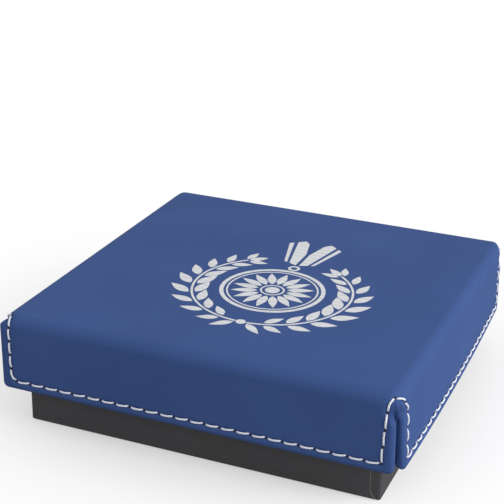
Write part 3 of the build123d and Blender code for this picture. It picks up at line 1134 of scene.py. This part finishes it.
def engraved_material():
    """Laser-engraved leatherette: the bare silver-grey layer, matt, ruled by the laser's fine sweep."""
    material, tree, shader, place = new_material("engraved_silver_layer")
    # The laser's sweep is 0.1 mm; it is drawn at 0.35 mm so that it shows.
    sweep = add(tree, "ShaderNodeTexWave", {"Vector": place, "Scale": per_mm(0.35) / 20, "Distortion": 0.4},
                bands_direction="Y").outputs["Fac"]
    both = reckon(tree, "MULTIPLY_ADD", sweep, 0.35, mottle(tree, place, size=0.6, Detail=4.0))
    tone = two_tone(tree, both, "#C3C5C9", "#D6D8DB", start=0.3, end=0.9)
    normal = relief(tree, both, strength=0.2, depth=0.03)
    finish(tree, shader, tone, roughness=0.6, normal=normal, specular=0.2)
    return material


engraving = new_piece("engraved_award", engraving_mesh(), engraved_material(), smooth_angle=20)
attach(engraving, "lid")

# The studio: a plain pale floor that keeps the box's shadow, a white background for what the camera, gloss
# and glass see, two broad soft lamps, and the camera where the photograph was taken.
FLOOR_HALF = 3.0
FLOOR_FADE = (0.055, 0.13)
# The least share of painted glow on the floor, right beside the box.
FLOOR_LEAST_GLOW = 0.45
SKY_STRENGTH = 0.6
LAMPS = (
    {"name": "lamp_right", "place": (0.80, -0.02, 0.44), "size": 0.7, "power": 7.4},
    {"name": "lamp_front", "place": (-0.35, -0.9, 0.65), "size": 0.8, "power": 1.6},
)
LAMP_AIM = Vector((0, 0, 0.02))
SENSOR = 36.0
LENS = 93.653
CLIP_START = 0.01
AZIMUTH, ELEVATION, ROLL = 22.299, 22.317, 1.061
AIM = Vector((-9.591, 9.961, 31.319)) * MM
DISTANCE = 355.671 * MM


def studio_world():
    """A world that is white to the camera, to gloss and to glass, and lights the box a little more softly."""
    world = bpy.data.worlds.new("studio_white")
    world.use_nodes = True
    tree = world.node_tree
    tree.nodes.clear()
    ray = add(tree, "ShaderNodeLightPath").outputs
    seen = reckon(tree, "MAXIMUM", ray["Is Camera Ray"], ray["Is Glossy Ray"])
    seen = reckon(tree, "MAXIMUM", seen, ray["Is Transmission Ray"])
    strength = add(tree, "ShaderNodeMapRange", {"Value": seen, "To Min": SKY_STRENGTH, "To Max": 1.0})
    sky = add(tree, "ShaderNodeBackground",
              {"Strength": strength.outputs["Result"], "Color": linear("#FFFFFF")})
    add(tree, "ShaderNodeOutputWorld", {"Surface": sky.outputs["Background"]})
    return world


def floor_material():
    """Pale paper: near white to the camera, throwing less light back, and to the camera partly a painted
    white glow, which lightens the box's shadow beside it and is whole away from it.
    """
    material, tree, shader, place = new_material("floor_pale_paper")
    by_camera = add(tree, "ShaderNodeLightPath").outputs["Is Camera Ray"]
    tone = add(tree, "ShaderNodeMix", {"Factor": by_camera, "A": linear("#B4B4B4"), "B": linear("#FBFBFB")},
               data_type="RGBA").outputs["Result"]
    finish(tree, shader, tone, roughness=0.9)
    from_box = add(tree, "ShaderNodeVectorMath", {0: place}, operation="LENGTH").outputs["Value"]
    fade = add(tree, "ShaderNodeMapRange", {"Value": from_box, "From Min": FLOOR_FADE[0],
                                            "From Max": FLOOR_FADE[1], "To Min": FLOOR_LEAST_GLOW})
    # Painted glow: for the camera the floor is partly white emission, a share of it beside the box,
    # lightening its shadow, and all of it away from the box.
    glow_share = reckon(tree, "MULTIPLY", fade.outputs["Result"], by_camera)
    plain = add(tree, "ShaderNodeEmission")
    faded = add(tree, "ShaderNodeMixShader",
                {0: glow_share, 1: shader.outputs["BSDF"], 2: plain.outputs["Emission"]})
    output = next(item for item in tree.nodes if item.type == "OUTPUT_MATERIAL")
    tree.links.new(faded.outputs["Shader"], output.inputs["Surface"])
    return material


bpy.context.scene.world = studio_world()

floor_mesh = bpy.data.meshes.new("floor")
floor_mesh.from_pydata([(x * FLOOR_HALF, y * FLOOR_HALF, 0) for x, y in ((-1, -1), (1, -1), (1, 1), (-1, 1))],
                       [], [(0, 1, 2, 3)])
floor_mesh.materials.append(floor_material())
floor = bpy.data.objects.new("floor", floor_mesh)
bpy.context.scene.collection.objects.link(floor)

for given in LAMPS:
    lamp = bpy.data.objects.new(given["name"], bpy.data.lights.new(given["name"], "AREA"))
    lamp.data.size = given["size"]
    lamp.data.energy = given["power"]
    lamp.location = given["place"]
    lamp.rotation_euler = (LAMP_AIM - lamp.location).to_track_quat("-Z", "Y").to_euler()
    bpy.context.scene.collection.objects.link(lamp)

view_turn = math.radians(AZIMUTH)
view_rise = math.radians(ELEVATION)
back = Vector((math.sin(view_turn) * math.cos(view_rise), -math.cos(view_turn) * math.cos(view_rise),
               math.sin(view_rise)))
camera = bpy.data.objects.new("camera", bpy.data.cameras.new("camera"))
camera.data.lens = LENS
camera.data.sensor_width = SENSOR
camera.data.clip_start = CLIP_START
camera.location = AIM + back * DISTANCE
camera.rotation_mode = "QUATERNION"
camera.rotation_quaternion = Quaternion(back, math.radians(ROLL)) @ back.to_track_quat("Z", "Y")
bpy.context.scene.collection.objects.link(camera)
bpy.context.scene.camera = camera

bpy.context.scene.view_settings.view_transform = "Standard"
